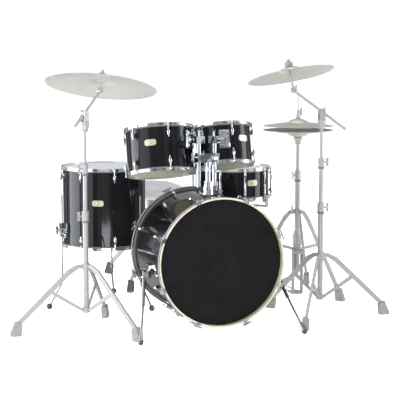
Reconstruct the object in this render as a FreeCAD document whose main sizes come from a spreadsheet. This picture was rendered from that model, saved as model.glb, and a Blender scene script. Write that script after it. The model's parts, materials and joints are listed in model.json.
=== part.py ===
"""Acoustic drum kit: five drums, tom holder, two boom cymbal stands, hi-hat, pedals and throne.

The model stands on the floor at z = 0.  +Y runs along the bass drum towards the drummer and +X
runs towards the hi-hat.  Lengths are in millimetres and angles in degrees.
"""
import FreeCAD, Part
import math
import os
import re
import Sketcher

from FreeCAD import Placement, Rotation, Vector

os.makedirs("parts", exist_ok=True)
doc = FreeCAD.newDocument("drum_kit")

# ---------------------------------------------------------------- driving dimensions
SIZES = {
    # where the kit's middle lies, seen from the floor point under the bass drum's front hoop
    "kit_centre_x": 21.92, "kit_centre_y": 896.06,
    # drum shells and what every drum shares
    "wall": 6.5, "edge": 3.0, "film": 1.0, "seat_gap": 0.1, "flesh_ring": 3.8, "collar": 10.0,
    "hoop_steel": 1.8, "hoop_rise": 8.0, "rod_radius": 3.0, "rod_offset": 13.0, "lug_radius": 7.0,
    # bass drum, 22 x 17 inches
    "bass_radius": 279.4, "bass_depth": 431.8, "bass_height": 338.4, "bass_ring": 9.0,
    "bass_hoop": 8.6, "bass_hoop_width": 27.0, "bass_rod_offset": 20.0, "bass_lugs": 8,
    # rack toms, 12 x 8 and 10 x 7 inches, leaning back to the drummer
    "tom12_radius": 152.4, "tom12_depth": 203.2, "tom12_x": -175.0, "tom12_y": 395.0, "tom12_z": 805.0,
    "tom10_radius": 127.0, "tom10_depth": 177.8, "tom10_x": 126.0, "tom10_y": 369.0, "tom10_z": 824.0,
    "tom_lean": 13.4, "tom_lugs": 6, "tom12_bracket_angle": -46.0, "tom10_bracket_angle": -106.0,
    "tom12_bracket_rise": 33.0, "tom10_bracket_rise": 14.0,
    # floor tom, 16 x 15 inches
    "floor_radius": 203.2, "floor_depth": 381.0, "floor_x": -311.0, "floor_y": 921.0, "floor_z": 499.0,
    "floor_lugs": 8, "leg_rod": 4.8, "leg_offset": 20.0, "leg_foot_radius": 292.0, "leg_top": 560.0,
    "leg_bend": 130.0, "leg_bend_radius": 60.0, "leg_bracket": 388.0, "leg_first_angle": 67.5,
    # snare drum, 14 x 5.5 inches
    "snare_radius": 177.8, "snare_depth": 139.7, "snare_x": 267.0, "snare_y": 663.0, "snare_z": 624.5,
    "snare_lugs": 10, "snare_lug_angle": 18.5,
    # tom holder
    "holder_x": -4.4, "post_y": 200.0, "post_radius": 11.1, "arm_x": 37.0, "arm_y": 222.0, "arm_radius": 9.5,
    "arm_bottom": 654.0, "ball_z": 868.0, "ball_radius": 11.0, "block_z": 788.0, "block_rise": 40.0,
    # spurs
    "spur_x": 298.0, "spur_y": 195.0, "spur_z": 288.0, "spur_foot_x": 382.0, "spur_foot_y": -22.0,
    "spur_radius": 8.0,
    # boom cymbal stands
    "ride_stand_x": -543.0, "ride_stand_y": 325.0, "ride_leg_angle": 61.0,
    "crash_stand_x": 587.0, "crash_stand_y": 300.0, "crash_leg_angle": -4.0,
    "boom_foot": 345.0, "boom_collar": 300.0, "boom_hub": 100.0, "base_tube": 12.7,
    "middle_tube": 9.55, "upper_tube": 6.35, "lower_joint": 550.0, "upper_joint": 762.0,
    "ride_pivot": 990.0, "crash_pivot": 980.0, "boom_radius": 4.8, "stem_radius": 3.0,
    "ride_tail": 84.0, "crash_tail": 150.0,
    "ride_radius": 254.0, "crash_radius": 203.2, "cymbal_steel": 1.6, "cymbal_bow": 22.0, "bell_rise": 20.0,
    "ride_drop": 18.5, "crash_drop": 70.0,
    # hi-hat
    "hihat_x": 706.0, "hihat_y": 905.0, "hihat_leg_angle": 58.0, "hihat_foot": 310.0,
    "hihat_collar": 430.0, "hihat_hub": 236.0, "hihat_joint": 641.0, "hat_radius": 180.0,
    "hat_rim_low": 851.0, "hat_gap": 20.0, "pull_rod": 3.0, "hihat_rod_top": 1022.0,
    # snare stand
    "snare_foot": 250.0, "snare_leg_angle": 15.0, "snare_collar": 270.0, "snare_hub": 110.0,
    "snare_joint": 400.0,
    # throne
    "throne_x": 80.0, "throne_y": 1490.0, "throne_leg_angle": -3.0, "throne_foot": 366.0,
    "throne_collar": 300.0, "throne_hub": 140.0, "throne_joint": 366.0, "throne_top": 540.0,
    "throne_radius": 175.0, "throne_pad": 78.0,
    # bass drum pedal
    "pedal_y": 492.0, "pedal_axle": 262.0, "pedal_half_width": 46.0,
    # clearance between pieces that move
    "slide_gap": 0.3,
}
kit = doc.addObject("Spreadsheet::Sheet", "kit")
for row, (alias, value) in enumerate(SIZES.items(), start=1):
    kit.set("A%d" % row, alias)
    kit.set("B%d" % row, str(value))
    kit.setAlias("B%d" % row, alias)
doc.recompute()

WORD = re.compile(r"[a-z][a-z0-9_]*")
pieces = []


def size(text):
    """The number that a formula of sheet names gives."""
    return float(kit.evalExpression(str(text)))


def bound(text):
    """The same formula with each sheet name led by the sheet's own name."""
    return WORD.sub(lambda match: "kit." + match.group(0), str(text))


def point(x, y, z):
    """A point in the kit, from distances measured from under the bass drum's front hoop."""
    return Vector(size(x) - size("kit_centre_x"), size(y) - size("kit_centre_y"), size(z))


def placed(x, y, z, turn=0.0, lean=0.0):
    """A place in the kit, turned about Z and then leaned back towards +Y."""
    rotation = Rotation(Vector(1, 0, 0), -lean) * Rotation(Vector(0, 0, 1), turn)
    return Placement(point(x, y, z), rotation)


def keep(piece, label, place=None):
    """Name a finished piece and put it in place."""
    piece.Label = label
    if place is not None:
        piece.Placement = place
    pieces.append(piece)
    return piece


# ---------------------------------------------------------------- PartDesign helpers
def body_of(name):
    return doc.addObject("PartDesign::Body", name)


def plane_of(body, role):
    return next(item for item in body.Origin.OriginFeatures if item.Role == role)


def outline(body, corners, axis_x=None):
    """A closed outline on the body's XZ plane, each corner bound to the sheet."""
    sketch = body.newObject("Sketcher::SketchObject", body.Name + "_outline")
    sketch.AttachmentSupport = (plane_of(body, "XZ_Plane"), [""])
    sketch.MapMode = "FlatFace"
    places = [Vector(size(x), size(z), 0) for x, z in corners]
    count = len(corners)
    for index in range(count):
        sketch.addGeometry(Part.LineSegment(places[index], places[(index + 1) % count]), False)
    for index in range(count):
        sketch.addConstraint(Sketcher.Constraint("Coincident", index, 2, (index + 1) % count, 1))
    for index, (x, z) in enumerate(corners):
        for kind, text, axis, value in (("DistanceX", x, -2, places[index].x),
                                        ("DistanceY", z, -1, places[index].y)):
            if abs(value) < 1e-9:
                sketch.addConstraint(Sketcher.Constraint("PointOnObject", index, 1, axis))
                continue
            number = sketch.addConstraint(Sketcher.Constraint(kind, -1, 1, index, 1, value))
            sketch.setExpression("Constraints[%d]" % number, bound(text))
    if axis_x is not None:
        across = size(axis_x)
        sketch.addGeometry(Part.LineSegment(Vector(across, -50, 0), Vector(across, 50, 0)), True)
        line = count
        number = sketch.addConstraint(Sketcher.Constraint("DistanceX", -1, 1, line, 1, across))
        sketch.setExpression("Constraints[%d]" % number, bound(axis_x))
        sketch.addConstraint(Sketcher.Constraint("Vertical", line))
    return sketch


def turned(body, corners, axis_x=None, cut=False):
    """Revolve an outline about the body's Z axis, or about a parallel axis at axis_x."""
    sketch = outline(body, corners, axis_x)
    kind = "PartDesign::Groove" if cut else "PartDesign::Revolution"
    feature = body.newObject(kind, body.Name + "_turned")
    feature.Profile = sketch
    feature.ReferenceAxis = (sketch, ["V_Axis"] if axis_x is None else ["Axis0"])
    feature.Angle = 360
    doc.recompute()
    return feature


def slab(body, corners, thickness):
    """Extrude an outline evenly to both sides of the XZ plane."""
    sketch = outline(body, corners)
    feature = body.newObject("PartDesign::Pad", body.Name + "_slab")
    feature.Profile = sketch
    feature.SideType = "Symmetric"
    feature.setExpression("Length", bound(thickness))
    doc.recompute()
    return feature


def repeated(body, features, count=None, mirrored=False):
    """Repeat features round the body's Z axis and, if asked, on the other side of its middle."""
    pattern = body.newObject("PartDesign::MultiTransform", body.Name + "_repeat")
    steps = []
    if count is not None:
        ring = body.newObject("PartDesign::PolarPattern", body.Name + "_ring")
        ring.Axis = (plane_of(body, "Z_Axis"), [""])
        ring.Angle = 360
        ring.setExpression("Occurrences", bound(count))
        steps.append(ring)
    if mirrored:
        other = body.newObject("PartDesign::Mirrored", body.Name + "_mirror")
        other.MirrorPlane = (plane_of(body, "XY_Plane"), [""])
        steps.append(other)
    pattern.Originals = features
    pattern.Transformations = steps
    body.Tip = pattern
    doc.recompute()
    return pattern


# ---------------------------------------------------------------- Part helpers
def along(start, end):
    """A placement whose Z axis runs from start to end."""
    return Placement(start, Rotation(Vector(0, 0, 1), end - start))


def rod(start, end, radius, name="rod", inner=None):
    """A round bar or tube between two points."""
    bar = doc.addObject("Part::Cylinder", name)
    bar.setExpression("Radius", bound(radius))
    bar.Height = (end - start).Length
    bar.Placement = along(start, end)
    if inner is None:
        return bar
    hole = rod(start - (end - start), end + (end - start), inner, name + "_bore")
    return cut(bar, [hole], name + "_tube")


def cone(start, end, radius_a, radius_b, name="cone"):
    taper = doc.addObject("Part::Cone", name)
    taper.setExpression("Radius1", bound(radius_a))
    taper.setExpression("Radius2", bound(radius_b))
    taper.Height = (end - start).Length
    taper.Placement = along(start, end)
    return taper


def ball(centre, radius, name="ball", turn=None):
    sphere = doc.addObject("Part::Sphere", name)
    sphere.setExpression("Radius", bound(radius))
    sphere.Placement = Placement(centre, turn or Rotation())
    return sphere


def block(centre, length, width, height, name="block", turn=None):
    """A box about its own centre."""
    box = doc.addObject("Part::Box", name)
    for edge, text in (("Length", length), ("Width", width), ("Height", height)):
        box.setExpression(edge, bound(text))
    middle = Vector(size(length), size(width), size(height)) * -0.5
    rotation = turn or Rotation()
    box.Placement = Placement(centre + rotation.multVec(middle), rotation)
    return box


def fused(items, name="fused"):
    join = doc.addObject("Part::MultiFuse", name)
    join.Shapes = items
    return join


def cut(base, tools, name="cut"):
    trimmed = doc.addObject("Part::Cut", name)
    trimmed.Base = base
    trimmed.Tool = tools[0] if len(tools) == 1 else fused(tools, name + "_tools")
    return trimmed


def group(items, name="group"):
    together = doc.addObject("Part::Compound", name)
    together.Links = items
    return together


def wing_bolt(centre, direction, up=Vector(0, 0, 1), reach=14.0, name="wing_bolt"):
    """A clamp screw with a two-winged head, standing out from a clamp along direction."""
    outward = Vector(direction).normalize()
    across = outward.cross(Vector(up)).normalize()
    side = across.cross(outward)
    end = centre + outward * reach
    shank = rod(centre, end, "4.0", name + "_shank")
    turn = Rotation(outward, side, Vector(), "XYZ")
    tips = [block(end + outward * 3 + side * (11 * sign), "11", "20", "4.4", name + "_wing", turn)
            for sign in (-1, 1)]
    return fused([shank] + tips, name)


def bent_rod(top, corner, low, radius, bend, name):
    """A round bar from top to low with a rounded bend near the corner; gives back its three parts."""
    down = (corner - top).normalize()
    away = (low - corner).normalize()
    angle = down.getAngle(away)
    reach = size(bend) * math.tan(angle / 2)
    inward = (away - down * down.dot(away)).normalize()
    first = corner - down * reach
    last = corner + away * reach
    knee = doc.addObject("Part::Torus", name + "_knee")
    knee.setExpression("Radius1", bound(bend))
    knee.setExpression("Radius2", bound(radius))
    knee.Angle3 = math.degrees(angle)
    turn = Rotation(-inward, down, down.cross(inward), "XYZ")
    knee.Placement = Placement(first + inward * size(bend), turn)
    return [rod(top, first, radius, name + "_shank"), knee, rod(last, low, radius, name + "_toe")]


def shell_of(label, name, place):
    radius, half = name + "_radius", name + "_depth / 2"
    body = body_of(label)
    turned(body, [(radius + " - wall", "0 - " + half + " + edge"), (radius + " - wall / 2", "0 - " + half),
                  (radius, "0 - " + half + " + edge / 2"), (radius, half + " - edge / 2"),
                  (radius + " - wall / 2", half), (radius + " - wall", half + " - edge")])
    return keep(body, label, place)


def heads_of(label, name, place, ring="flesh_ring"):
    """Batter and resonant heads: film, collar and flesh ring, each one piece."""
    radius, half = name + "_radius", name + "_depth / 2"
    body = body_of(label)
    inner, outer = radius + " + 0.4", radius + " + 0.4 + film"
    low, high = half + " + seat_gap", half + " + seat_gap + film"
    head = turned(body, [("0", low), (inner, low), (inner, half + " - collar"),
                         (radius + " + " + ring, half + " - collar"), (radius + " + " + ring, half + " - 5.2"),
                         (outer, half + " - 5.2"), (outer, high), ("0", high)])
    repeated(body, [head], mirrored=True)
    return keep(body, label, place)


def steel_hoops_of(label, name, place, lugs):
    """Flanged steel counterhoops with an ear at each tension rod."""
    radius, half = name + "_radius", name + "_depth / 2"
    body = body_of(label)
    under, over = half + " - 5", half + " - 5 + hoop_steel"
    wall_in, wall_out = radius + " + 4.2", radius + " + 4.2 + hoop_steel"
    lip_under, lip_top = half + " + hoop_rise - hoop_steel", half + " + hoop_rise"
    ring = turned(body, [(radius + " + 1.8", under), (radius + " + 10", under), (radius + " + 10", over),
                         (wall_out, over), (wall_out, lip_under), (radius + " + 8.4", lip_under),
                         (radius + " + 8.4", lip_top), (wall_in, lip_top), (wall_in, over),
                         (radius + " + 1.8", over)])
    repeated(body, [ring], mirrored=True)
    ear = slab(body, [(radius + " + 7", under), (radius + " + 18.5", under), (radius + " + 18.5", over),
                      (radius + " + 7", over)], "15")
    axis = radius + " + rod_offset"
    hole = turned(body, [(axis, half + " - 7"), (axis + " + rod_radius + 0.3", half + " - 7"),
                         (axis + " + rod_radius + 0.3", half + " - 1"), (axis, half + " - 1")], axis, cut=True)
    repeated(body, [ear, hole], lugs, mirrored=True)
    return keep(body, label, place)


def rod_top(axis, half):
    """The upper part of a tension rod's outline: square head, washer and shank."""
    return [(axis, half + " + 5"), (axis + " + 4", half + " + 5"), (axis + " + 4", half + " - 1.3"),
            (axis + " + 5.6", half + " - 1.3"), (axis + " + 5.6", half + " - 2.8"),
            (axis + " + rod_radius", half + " - 2.8")]


def drop_lugs_of(label, name, place, lugs):
    """Drop-shaped lugs with their tension rods, one row at each end of the shell."""
    radius, half = name + "_radius", name + "_depth / 2"
    axis = radius + " + rod_offset"
    body = body_of(label)
    lug = turned(body, rod_top(axis, half) +
                 [(axis + " + rod_radius", half + " - 26"), (axis + " + 5", half + " - 26"),
                  (axis + " + lug_radius", half + " - 33"), (axis + " + lug_radius", half + " - 41"),
                  (axis + " + 2.5", half + " - 60"), (axis, half + " - 61")], axis)
    pad = slab(body, [(radius + " + 0.2", half + " - 50"), (axis, half + " - 50"), (axis, half + " - 31"),
                      (radius + " + 0.2", half + " - 31")], "9")
    repeated(body, [lug, pad], lugs, mirrored=True)
    return keep(body, label, place)


bass_turn = Rotation(Vector(1, 0, 0), 90) * Rotation(Vector(0, 0, 1), 22.5)
bass_place = Placement(point("0", "bass_hoop_width + bass_depth / 2", "bass_height"), bass_turn)
tom12_place = placed("tom12_x", "tom12_y", "tom12_z", 30, size("tom_lean"))
tom10_place = placed("tom10_x", "tom10_y", "tom10_z", 30, size("tom_lean"))
floor_place = placed("floor_x", "floor_y", "floor_z")
snare_place = placed("snare_x", "snare_y", "snare_z", size("snare_lug_angle"))

shell_of("bass_shell", "bass", bass_place)
heads_of("bass_heads", "bass", bass_place, "bass_ring")
for size_name, place in (("tom12", tom12_place), ("tom10", tom10_place)):
    shell_of(size_name + "_shell", size_name, place)
    heads_of(size_name + "_heads", size_name, place)
    steel_hoops_of(size_name + "_hoops", size_name, place, "tom_lugs")
shell_of("floor_tom_shell", "floor", floor_place)
heads_of("floor_tom_heads", "floor", floor_place)
steel_hoops_of("floor_tom_hoops", "floor", floor_place, "floor_lugs")
drop_lugs_of("floor_tom_lugs", "floor", floor_place, "floor_lugs")
shell_of("snare_shell", "snare", snare_place)
heads_of("snare_heads", "snare", snare_place)
steel_hoops_of("snare_hoops", "snare", snare_place, "snare_lugs")


def snare_tube_lugs():
    """Full-height tube lugs of the snare drum, with a tension rod at each end."""
    half, axis = "snare_depth / 2", "snare_radius + rod_offset"
    body = body_of("snare_lugs_row")
    lug = turned(body, rod_top(axis, half) +
                 [(axis + " + rod_radius", half + " - 14"), (axis + " + 5", half + " - 14"),
                  (axis + " + 5.5", half + " - 22"), (axis + " + 4.2", "0"), (axis, "0")], axis)
    pad = slab(body, [("snare_radius + 0.2", half + " - 36"), (axis, half + " - 36"), (axis, half + " - 22"),
                      ("snare_radius + 0.2", half + " - 22")], "8")
    repeated(body, [lug, pad], "snare_lugs", mirrored=True)
    keep(body, "snare_lugs", snare_place)


def bass_hoops():
    body = body_of("bass_hoops")
    inner, outer = "bass_radius + 3", "bass_radius + 3 + bass_hoop"
    back, front = "bass_depth / 2 - 5", "bass_depth / 2 + bass_hoop_width"
    ring = turned(body, [(inner, back), (outer, back), (outer, front), (inner, front)])
    repeated(body, [ring], mirrored=True)
    keep(body, "bass_hoops", bass_place)


def bass_lug_rows():
    half, axis = "bass_depth / 2", "bass_radius + bass_rod_offset"
    body = body_of("bass_lugs_rows")
    lug = turned(body, [(axis, half + " - 70"), (axis + " + 5", half + " - 70"),
                        (axis + " + 8", half + " - 78"), (axis + " + 8", half + " - 86"),
                        (axis + " + 2.5", half + " - 106"), (axis, half + " - 107")], axis)
    pad = slab(body, [("bass_radius + 0.2", half + " - 95"), (axis, half + " - 95"), (axis, half + " - 75"),
                      ("bass_radius + 0.2", half + " - 75")], "11")
    repeated(body, [lug, pad], "bass_lugs", mirrored=True)
    body.Placement = bass_place
    return body


def bass_claws_and_rods():
    """Claws hooked over the wooden hoops and the T-handled rods that pull them in."""
    half, axis = "bass_depth / 2", "bass_radius + bass_rod_offset"
    rim, foot = half + " + bass_hoop_width + 0.3", "bass_radius + 3 + bass_hoop + 0.3"
    body = body_of("bass_claws_set")
    claw = slab(body, [("bass_radius + 4", rim), (foot, rim), (foot, half + " + 4"),
                       (axis + " + 7", half + " + 10"), (axis + " + 7", half + " + 22"),
                       (foot, rim + " + 3.5"), ("bass_radius + 4", rim + " + 3.5")], "22")
    hole = turned(body, [(axis, half), (axis + " + 3.5", half), (axis + " + 3.5", half + " + 40"),
                         (axis, half + " + 40")], axis, cut=True)
    shank = turned(body, [(axis, half + " - 69.8"), (axis + " + rod_radius", half + " - 69.8"),
                          (axis + " + rod_radius", half + " + 27"), (axis + " + 5", half + " + 28"),
                          (axis + " + 5", half + " + 37"), (axis, half + " + 37")], axis)
    handle = slab(body, [(axis + " - 3", half + " + 30"), (axis + " + 3", half + " + 30"),
                         (axis + " + 3", half + " + 36"), (axis + " - 3", half + " + 36")], "46")
    repeated(body, [claw, hole, shank, handle], "bass_lugs", mirrored=True)
    body.Placement = bass_place
    return body


snare_tube_lugs()
bass_hoops()
keep(group([bass_lug_rows(), bass_claws_and_rods()], "bass_tension_set"), "bass_tension_hardware")


def snare_wires_and_strainer():
    """Snare wires under the lower head, the strainer with its throw-off lever, and the butt plate."""
    half = size("snare_depth") / 2
    radius = size("snare_radius")
    strands = []
    for index in range(12):
        across = (index - 5.5) * 3.6
        strands.append(rod(Vector(-130, across, -half - 3.2), Vector(130, across, -half - 3.2), "0.9", "strand"))
    for side in (-1, 1):
        strands.append(block(Vector(side * 132, 0, -half - 3.4), "8", "46", "2.4", "wire_plate"))
    keep(fused(strands, "wires"), "snare_wires", strainer_place)
    housing = block(Vector(radius + 8.5, 0, -22), "16", "30", "44", "strainer_housing")
    slide = block(Vector(radius + 9, 0, -half + 17), "10", "24", "20", "strainer_slide")
    axle = rod(Vector(radius + 23, -13, -4), Vector(radius + 23, 13, -4), "3.0", "lever_axle")
    ears = [block(Vector(radius + 21, side * 11, -6), "14", "4", "14", "lever_ear") for side in (-1, 1)]
    butt = block(Vector(-radius - 7.5, 0, -42), "14", "34", "30", "butt_plate")
    strainer = fused([housing, slide, axle] + ears, "strainer")
    keep(group([strainer, butt], "strainer_set"), "snare_strainer", strainer_place)
    hub = rod(Vector(radius + 23, -8.5, -4), Vector(radius + 23, 8.5, -4), "5.5", "lever_hub", "3.06")
    blade = block(Vector(radius + 29, 0, -32), "5", "15", "50", "lever_blade")
    lever = cut(fused([hub, blade], "lever_body"),
                [rod(Vector(radius + 23, -20, -4), Vector(radius + 23, 20, -4), "3.06", "lever_bore")], "lever")
    keep(lever, "snare_throw_off_lever", strainer_place)


strainer_place = placed("snare_x", "snare_y", "snare_z", 36.5)

snare_wires_and_strainer()


# ---------------------------------------------------------------- tom holder and rack tom mounts
def arm_axis(side, height):
    """A point on the upright axis of one tom arm."""
    return point(size("holder_x") + side * size("arm_x"), "arm_y", height)


def tom_holder():
    """Receiver on the bass drum, its post, and the block that clamps the two tom arms."""
    root = point("holder_x", "post_y", "bass_height + bass_radius")
    up = Vector(0, 0, 1)
    foot = block(root + up * 3.5, "64", "64", "5", "receiver_foot")
    neck = cone(root + up * 5, root + up * 62, "27", "17", "receiver_neck")
    bore = rod(root - up * 2, root + up * 90, "post_radius + slide_gap", "receiver_bore")
    screw = wing_bolt(root + Vector(26, 0, 40), Vector(1, 0, 0), name="receiver_screw")
    base = fused([cut(fused([foot, neck], "receiver_body"), [bore], "receiver"), screw], "receiver_set")
    under_block = point("holder_x", "post_y", "block_z - block_rise / 2")
    post = rod(root + up * 8, under_block, "post_radius", "holder_post")
    block_middle = point("holder_x", "(post_y + arm_y) / 2", "block_z")
    clamp = block(block_middle, "100", "48", "block_rise", "holder_block")
    sides = (-1, 1)
    bores = [rod(arm_axis(side, 700), arm_axis(side, 860), "arm_radius + slide_gap", "arm_bore")
             for side in sides]
    screws = [wing_bolt(arm_axis(-1, "block_z") - Vector(12, 0, 0), Vector(-1, 0, 0), name="arm_screw"),
              wing_bolt(arm_axis(1, "block_z") - Vector(0, 34, 0), Vector(0, -1, 0), name="arm_screw")]
    keep(group([fused([post, cut(clamp, bores, "holder_clamp")], "holder_body")] + screws, "holder_set"),
         "tom_holder_post")
    return base


def boss_end(name, place):
    """The middle of the mounting boss on a rack tom's shell."""
    angle = math.radians(size(name + "_bracket_angle"))
    local = Placement(place.Base, Rotation(Vector(1, 0, 0), -size("tom_lean")))
    outward = Vector(math.cos(angle), math.sin(angle), 0)
    return local, outward, local.multVec(outward * size(name + "_radius + 14") +
                                         Vector(0, 0, size(name + "_bracket_rise")))


def tom_arm(label, name, side, place):
    """A tube that turns in the holder block, with the ball clamp on its top."""
    centre = arm_axis(side, "ball_z")
    towards = boss_end(name, place)[2] - centre
    turn = Rotation(Vector(0, 0, 1), math.degrees(math.atan2(towards.y, towards.x)) - 90)
    tube = rod(arm_axis(side, "arm_bottom"), centre - Vector(0, 0, 14), "arm_radius", label + "_tube")
    jaw = block(centre, "44", "34", "32", label + "_jaw", turn)
    seam = turn.multiply(Rotation(Vector(0, 0, 1), -90))
    socket = ball(centre, "ball_radius + slide_gap", label + "_socket", seam)
    slot = block(centre + turn.multVec(Vector(0, 17, 0)), "60", "36", "19", label + "_slot", turn)
    back = turn.multVec(Vector(0, -4, 0))
    screw = rod(centre + back + Vector(0, 0, 12), centre + back + Vector(0, 0, 30), "5", label + "_screw")
    wings = wing_bolt(centre + back + Vector(0, 0, 26), Vector(0, 0, 1), Vector(0, 1, 0), 12, label + "_wing")
    clamp = cut(fused([tube, jaw], label + "_solid"), [socket, slot], label + "_clamp")
    keep(fused([clamp, screw, wings], label + "_set"), label)


def tom_lugs_and_mount(label, name, side, place):
    """The tom's lugs, and the plate and boss whose short rod ends in the ball of the arm."""
    local, outward, boss = boss_end(name, place)
    turn = Rotation(Vector(0, 0, 1), size(name + "_bracket_angle"))
    radius = size(name + "_radius")
    rise = Vector(0, 0, size(name + "_bracket_rise"))
    plate = block(outward * (radius + 2) + rise, "16", "46", "84", label + "_plate", turn)
    shell = rod(Vector(0, 0, -200), Vector(0, 0, 200), name + "_radius + 0.2", label + "_shell_space")
    dome = rod(outward * (radius + 6) + rise, outward * (radius + 21) + rise, "15", label + "_boss")
    mount = cut(fused([plate, dome], label + "_body"), [shell], label + "_mount")
    mount.Placement = local
    centre = arm_axis(side, "ball_z")
    stem = rod(centre, boss, "4.8", label + "_stem")
    holder = fused([mount, stem, ball(centre, "ball_radius", label + "_ball")], label + "_set")
    lugs = drop_lugs_of(label + "_row", name, place, "tom_lugs")
    pieces.remove(lugs)
    keep(group([lugs, holder], label + "_group"), label)


holder_base = tom_holder()
tom_arm("tom12_arm", "tom12", -1, tom12_place)
tom_arm("tom10_arm", "tom10", 1, tom10_place)
tom_lugs_and_mount("tom12_lugs_and_mount", "tom12", -1, tom12_place)
tom_lugs_and_mount("tom10_lugs_and_mount", "tom10", 1, tom10_place)


# ---------------------------------------------------------------- spurs and floor tom legs
def spurs():
    """Brackets on the bass drum and the two spur legs that fold up along its shell."""
    brackets = []
    for label, side in (("left_spur", -1), ("right_spur", 1)):
        hinge = point(side * size("spur_x"), "spur_y", "spur_z")
        foot = point(side * size("spur_foot_x"), "spur_foot_y", "0")
        inward = Vector(-side, 0, 0)
        plate = block(hinge + inward * 12, "14", "54", "60", label + "_plate")
        shell = rod(point("0", "0", "bass_height"), point("0", "500", "bass_height"), "bass_radius + 0.2",
                    label + "_shell_space")
        pin = rod(hinge + inward * 8, hinge - inward * 12, "5", label + "_pin")
        brackets.append(fused([cut(plate, [shell], label + "_bracket"), pin], label + "_mount"))
        heading = (foot + Vector(0, 0, 11) - hinge).normalize()
        start = hinge + Vector(side * 3, 0, 0)
        end = foot + Vector(0, 0, 11)
        middle = start + (end - start) * 0.5
        eye = rod(hinge - inward * 1, hinge - inward * 15, "13", label + "_eye")
        pivot = rod(hinge + inward * 20, hinge - inward * 30, "5.06", label + "_bore")
        tube = rod(start - heading * 2 + Vector(side * 5, 0, 0), middle, "spur_radius", label + "_tube")
        shank = rod(middle, end, "5", label + "_rod")
        tip = cone(end, end - heading * 50, "11", "7", label + "_tip")
        sole = ball(end, "11", label + "_sole")
        leg = cut(fused([eye, tube], label + "_upper"), [pivot], label + "_hub")
        keep(group([fused([leg, shank, tip, sole], label + "_leg")], label + "_set"), label)
    return brackets


def floor_tom_legs():
    """Three bent legs, each sliding in a bracket with a clamp screw, and a rubber ball foot."""
    centre = Vector(point("floor_x", "floor_y", "0"))
    mounts = []
    for index in range(3):
        angle = math.radians(size("leg_first_angle") + 120 * index)
        outward = Vector(math.cos(angle), math.sin(angle), 0)
        turn = Rotation(Vector(0, 0, 1), math.degrees(angle))
        radius = size("floor_radius")
        axis = radius + size("leg_offset")
        label = "floor_tom_leg_%d" % (index + 1)
        low = Vector(centre) + outward * size("leg_foot_radius") + Vector(0, 0, 14)
        knee = Vector(centre) + outward * axis + Vector(0, 0, size("leg_bend"))
        top = Vector(centre) + outward * axis + Vector(0, 0, size("leg_top"))
        shaft = bent_rod(top, knee, low, "leg_rod", "leg_bend_radius", label)
        foot = ball(low, "14", label + "_foot", turn)
        keep(fused(shaft + [foot], label + "_set"), label)
        middle = Vector(centre) + outward * (radius + 11) + Vector(0, 0, size("leg_bracket"))
        housing = block(middle, "34", "34", "66", label + "_housing", turn)
        bore = rod(Vector(centre) + outward * axis, top + Vector(0, 0, 40), "leg_rod + slide_gap", label + "_bore")
        shell = rod(Vector(centre), top - outward * axis, "floor_radius + 0.2", label + "_shell_space")
        mount = cut(housing, [bore, shell], label + "_mount")
        screw = wing_bolt(middle + outward * 16, outward, name=label + "_screw")
        mounts.append(fused([mount, screw], label + "_clamp"))
    return mounts


keep(group([holder_base] + spurs() + floor_tom_legs(), "shell_mounts"), "shell_mount_brackets")


# ---------------------------------------------------------------- stands
def tripod_legs(label, name, place):
    """Three flat legs with struts, hinged between a collar and a hub; one solid for each side."""
    foot, collar, hub = name + "_foot", name + "_collar", name + "_hub"
    body = body_of(label + "_body")
    mid_r, mid_z = "(" + foot + ") * 0.44", "(" + collar + ") * 0.65"
    leg = slab(body, [("base_tube + 5", collar + " - 9"), ("base_tube + 5", collar + " + 9"),
                      ("base_tube + 30", collar + " + 7"), ("(" + foot + ") * 0.24", collar + " * 0.92 + 11"),
                      (foot + " - 26", "62"), (foot + " - 46", "52"),
                      ("(" + foot + ") * 0.22", collar + " * 0.92 - 14"), ("base_tube + 24", collar + " - 10")],
               "10")
    strut = slab(body, [("base_tube + 5", hub + " - 7"), ("base_tube + 5", hub + " + 7"),
                        (mid_r, mid_z), (mid_r + " + 8", mid_z + " - 15")], "9")
    repeated(body, [leg, strut], "3")
    body.Placement = place
    return body


def tripod_feet(name, place, label):
    """Rubber feet on the ends of the three legs."""
    foot = name + "_foot"
    body = body_of(label + "_feet")
    sole = slab(body, [(foot + " - 44", "0"), (foot, "0"), (foot + " + 4", "7"), (foot + " - 20", "66"),
                       (foot + " - 50", "52")], "24")
    repeated(body, [sole], "3")
    body.Placement = place
    return body


def base_tube(label, name, place, joint, inner, bottom="hub"):
    """Main tube of a stand with the leg collar, the strut hub and the lower height clamp."""
    collar, hub = name + "_collar", name + "_hub"
    body = body_of(label + "_body")
    turned(body, [(inner, hub + " - 12"), ("base_tube + 4.8", hub + " - 12"), ("base_tube + 4.8", hub + " + 10"),
                  ("base_tube", hub + " + 10"), ("base_tube", collar + " - 14"),
                  ("base_tube + 4.8", collar + " - 14"), ("base_tube + 4.8", collar + " + 12"),
                  ("base_tube", collar + " + 12"), ("base_tube", joint + " - 48"),
                  ("base_tube + 3.5", joint + " - 44"), ("base_tube + 3.5", joint), (inner, joint)])
    body.Placement = place
    screw_end = place.multVec(Vector(size("base_tube") + 2, 0, size(joint) - 22))
    heading = place.Rotation.multVec(Vector(1, 0, 0))
    screw = wing_bolt(screw_end, heading, name=label + "_screw")
    return [body, screw]


def middle_tube(label, place, height):
    """Telescoping middle tube of a boom stand with its own clamp on top."""
    body = body_of(label + "_body")
    inner = "upper_tube + slide_gap"
    turned(body, [(inner, "350"), ("middle_tube", "350"), ("middle_tube", height + " - 45"),
                  ("middle_tube + 4.5", height + " - 41"), ("middle_tube + 4.5", height), (inner, height)])
    body.Placement = place
    centre = place.multVec(Vector(size("middle_tube") + 3, 0, size(height) - 20))
    screw = wing_bolt(centre, place.Rotation.multVec(Vector(1, 0, 0)), name=label + "_screw")
    keep(group([body, screw], label + "_set"), label)


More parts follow.
